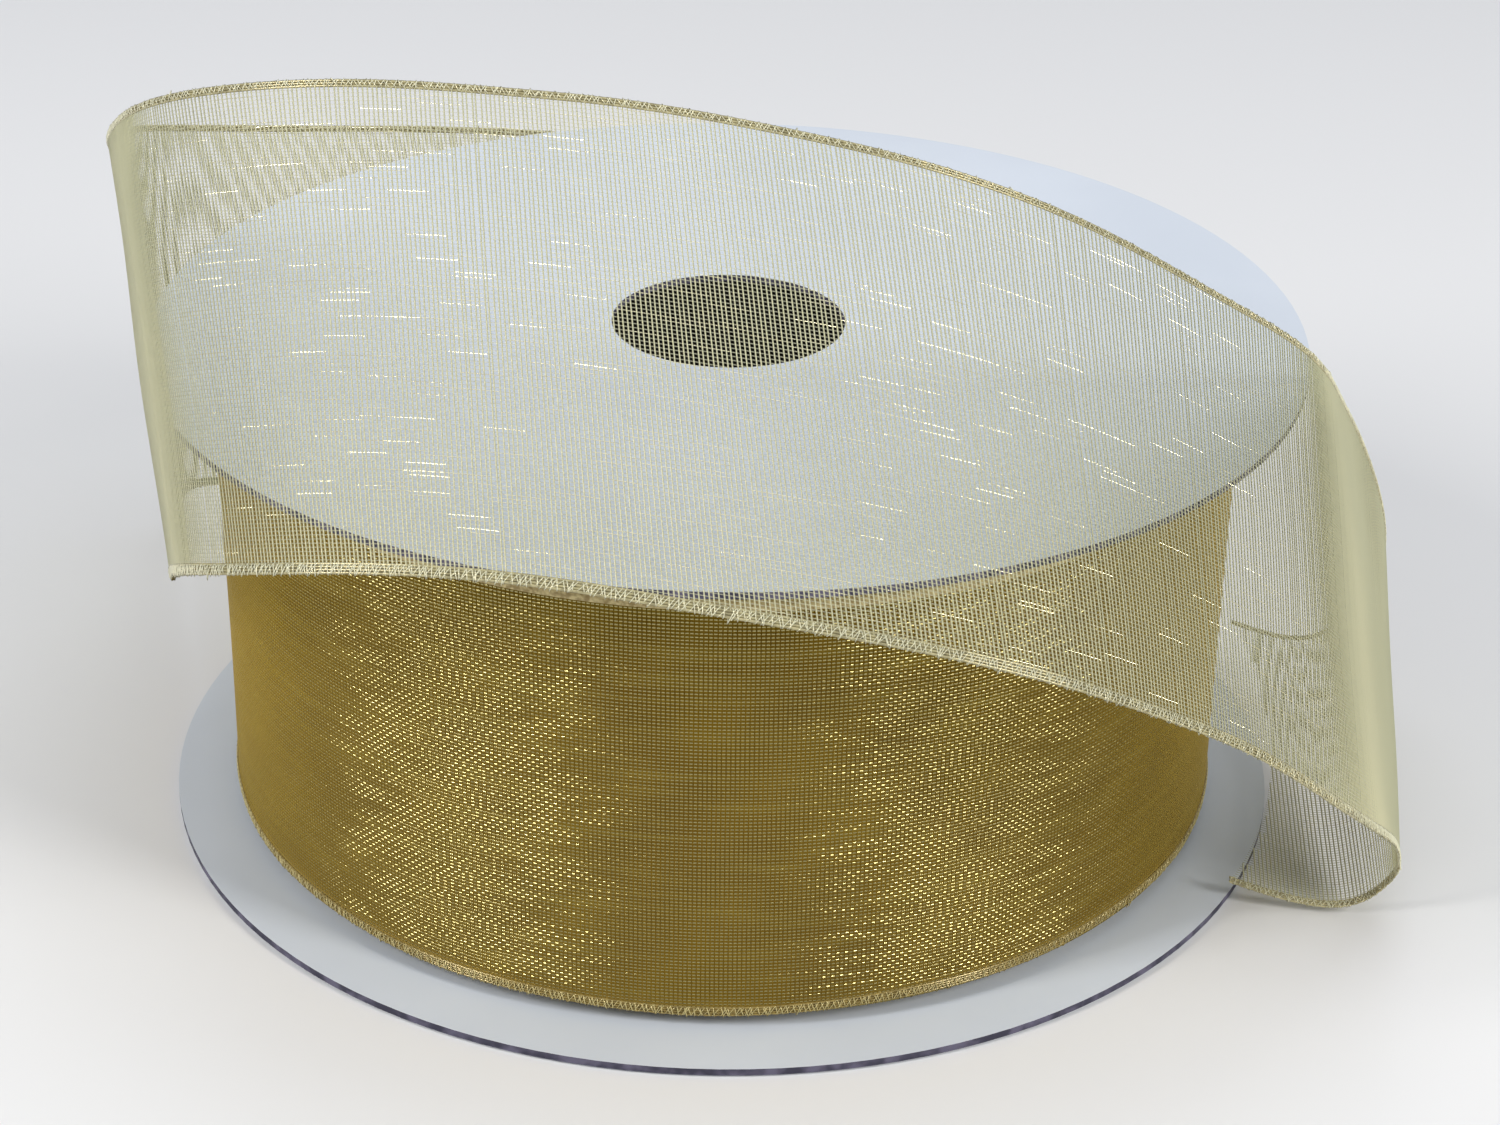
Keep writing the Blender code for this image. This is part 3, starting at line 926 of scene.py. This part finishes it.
def loose_end(name, material):
    """A loose thread end that sticks out of the lower selvedge at the right-hand turn."""
    place = np.array([LOOSE_PLACE])
    across = np.array([0.0])
    along, up, normal = directions(place, across)
    t = np.linspace(0, 1, LOOSE_POINTS)[:, None]
    path = surface(place, across)[0] + t * LOOSE_LENGTH * along[0] - t**2 * LOOSE_BEND * up[0]
    side = np.repeat(normal, LOOSE_POINTS, 0)
    out = np.repeat(up, LOOSE_POINTS, 0)
    return join_parts(name, [tube_parts(path, side, out, LOOSE_RADIUS, sides=4)], material, [1.0])


# ---------------------------------------------------------------- scene


ORGANZA = organza()
WEFT = weft_material()
EDGE_THREAD = edge_material("selvedge_thread", STRAND_TONE, WRAP_TONE)
WOUND_EDGE_THREAD = edge_material("wound_edge_thread", WOUND_STRAND_TONE, WOUND_WRAP_TONE)
WOUND = wound_organza()
WOUND_EDGES = roll_edge_material()


def build_lead():
    """The stretch that still lies on the roll."""
    lead = band_sheet("ribbon_lead", LEAD_START, roll_cut, LEAD_STEPS, ORGANZA)
    first_thread = float(place_at(-2 * LAID_FADE))
    lead_weft = weft_threads("lead_weft", first_thread, roll_cut, LEAD_WEFT_POINTS, WEFT)
    lead_edges = [
        tail_edge("lead_upper_selvedge", True, LEAD_START, roll_cut, WOUND_EDGE_THREAD),
        tail_edge("lead_lower_selvedge", False, LEAD_START, roll_cut, WOUND_EDGE_THREAD),
    ]
    for piece in [lead, lead_weft, *lead_edges]:
        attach(piece, "tail_root")
    return lead, [lead_weft, *lead_edges]


def build_tail():
    """All that hangs free beyond the roll."""
    tail = band_sheet("ribbon_tail", 0.0, rim_cut, TAIL_STEPS, ORGANZA)
    tail_weft = weft_threads("tail_weft", 0.0, rim_cut, TAIL_WEFT_POINTS, WEFT)
    tail_edges = [
        tail_edge("tail_upper_selvedge", True, 0.0, rim_cut, EDGE_THREAD),
        tail_edge("tail_lower_selvedge", False, 0.0, rim_cut, EDGE_THREAD),
    ]
    loose = loose_end("loose_thread", EDGE_THREAD)
    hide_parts("tail_back_run", "tail_fold", "tail_wall", "tail_veil", "tail_loop", "tail_end")
    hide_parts("root_upper_selvedge", "free_upper_selvedge")
    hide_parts("root_lower_selvedge", "free_lower_selvedge")
    for piece in [tail, tail_weft, *tail_edges]:
        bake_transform(piece)
    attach(loose, "tail_free")
    return tail, [tail_weft, *tail_edges, loose]


def build_ribbon():
    """The ribbon outside the roll, in its two stretches."""
    lead, lead_threads = build_lead()
    tail, tail_threads = build_tail()


def build_roll():
    """The wound turns, with the selvedges of the outermost one."""
    roll = wound_roll("wound_ribbon", WOUND, WOUND_EDGES)
    upper = roll_edge("roll_upper_edge", ROLL_TOP, True, WOUND_EDGE_THREAD)
    lower = roll_edge("roll_lower_edge", ROLL_BASE, False, WOUND_EDGE_THREAD)
    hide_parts("ribbon_roll", "roll_upper_selvedges", "roll_lower_selvedges")
    for piece in (roll, upper, lower):
        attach(piece, "spool")


def finish_spool():
    """Materials of the flanges, hub, glue and tape, whose shapes are kept."""
    glue = plain_material("set_glue", GLUE_TONE, roughness=0.3, Transmission_Weight=0.35)
    looks = {
        "top_flange": card_material("coated_card_top", -1.0),
        "bottom_flange": card_material("coated_card_bottom", 1.0),
        "core_tube": kraft_material(),
        "start_tape": plain_material("clear_tape", TAPE_TONE, roughness=0.2),
        "top_glue_bead": glue,
        "bottom_glue_bead": glue,
    }
    for node, material in looks.items():
        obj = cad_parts[node]
        obj.data.materials.clear()
        obj.data.materials.append(material)


# ---------------------------------------------------------------- studio

# Each softbox's name, place, width and height, power in watts, and colour
WARM_LIGHT = (1.0, 0.98, 0.95)
COOL_LIGHT = (0.94, 0.97, 1.0)
SOFTBOXES = (
    ("left_softbox", (-0.56, -0.30, 0.45), (0.14, 0.36), 3.3, WARM_LIGHT),
    ("right_softbox", (0.54, -0.38, 0.40), (0.14, 0.36), 3.4, WARM_LIGHT),
    ("top_softbox", (0.05, 0.15, 0.70), (0.60, 0.45), 1.45, COOL_LIGHT),
)
SKY_TONE = (0.86, 0.90, 1.0, 1)
SKY_STRENGTH = 0.34
FLOOR_SIZE = 4
FLOOR_GAP = 0.05 * MM

# The camera: its place from the middle of the spool's top, where it looks, and how wide
CAMERA_OFFSET = (0.21 * MM, -250 * MM, 107.6 * MM)
CAMERA_AZIMUTH = math.radians(0.46)
CAMERA_DIP = math.radians(27.706)
CAMERA_ROLL = math.radians(0.961)
VIEW_ANGLE = math.radians(26.888)
SENSOR_WIDTH = 36


def area_light(name, position, size, power, colour):
    """A rectangular light that points at the middle of the spool."""
    target = Vector((AXIS[0], AXIS[1], CARD_TOP / 2))
    data = bpy.data.lights.new(name, "AREA")
    data.shape = "RECTANGLE"
    data.size, data.size_y = size
    data.energy = power
    data.color = colour
    light = bpy.data.objects.new(name, data)
    light.location = position
    light.rotation_euler = (target - Vector(position)).to_track_quat("-Z", "Y").to_euler()
    bpy.context.scene.collection.objects.link(light)


def build_studio():
    """A pale floor, three softboxes and a faint even light from all round."""
    bpy.ops.mesh.primitive_plane_add(size=FLOOR_SIZE, location=(0, 0, TABLE - FLOOR_GAP))
    floor = bpy.context.object
    floor.name = "floor"
    floor.data.materials.append(plain_material("pale_floor", FLOOR_TONE, roughness=0.9))
    for softbox in SOFTBOXES:
        area_light(*softbox)
    world = bpy.data.worlds.new("studio")
    world.use_nodes = True
    background = world.node_tree.nodes["Background"]
    background.inputs[0].default_value = SKY_TONE
    background.inputs[1].default_value = SKY_STRENGTH
    bpy.context.scene.world = world
    bpy.context.scene.view_settings.view_transform = "Standard"


def build_camera():
    """The camera, before the spool and above it, looking down on it and tilted a little to one side."""
    level = math.cos(CAMERA_DIP)
    forward = Vector(
        (math.sin(CAMERA_AZIMUTH) * level, math.cos(CAMERA_AZIMUTH) * level, -math.sin(CAMERA_DIP))
    )
    right = Vector((math.cos(CAMERA_AZIMUTH), -math.sin(CAMERA_AZIMUTH), 0))
    up = right.cross(forward)
    rolled_right = math.cos(CAMERA_ROLL) * right + math.sin(CAMERA_ROLL) * up
    rolled_up = math.cos(CAMERA_ROLL) * up - math.sin(CAMERA_ROLL) * right
    turn = Matrix((rolled_right, rolled_up, -forward)).transposed()
    place = Vector((AXIS[0], AXIS[1], CARD_TOP)) + Vector(CAMERA_OFFSET)
    data = bpy.data.cameras.new("camera")
    data.sensor_fit = "HORIZONTAL"
    data.sensor_width = SENSOR_WIDTH
    data.angle = VIEW_ANGLE
    data.clip_start = 0.01
    data.clip_end = 20
    camera = bpy.data.objects.new("camera", data)
    camera.matrix_world = Matrix.Translation(place) @ turn.to_4x4()
    bpy.context.scene.collection.objects.link(camera)
    bpy.context.scene.camera = camera


build_ribbon()
build_roll()
finish_spool()
build_studio()
build_camera()
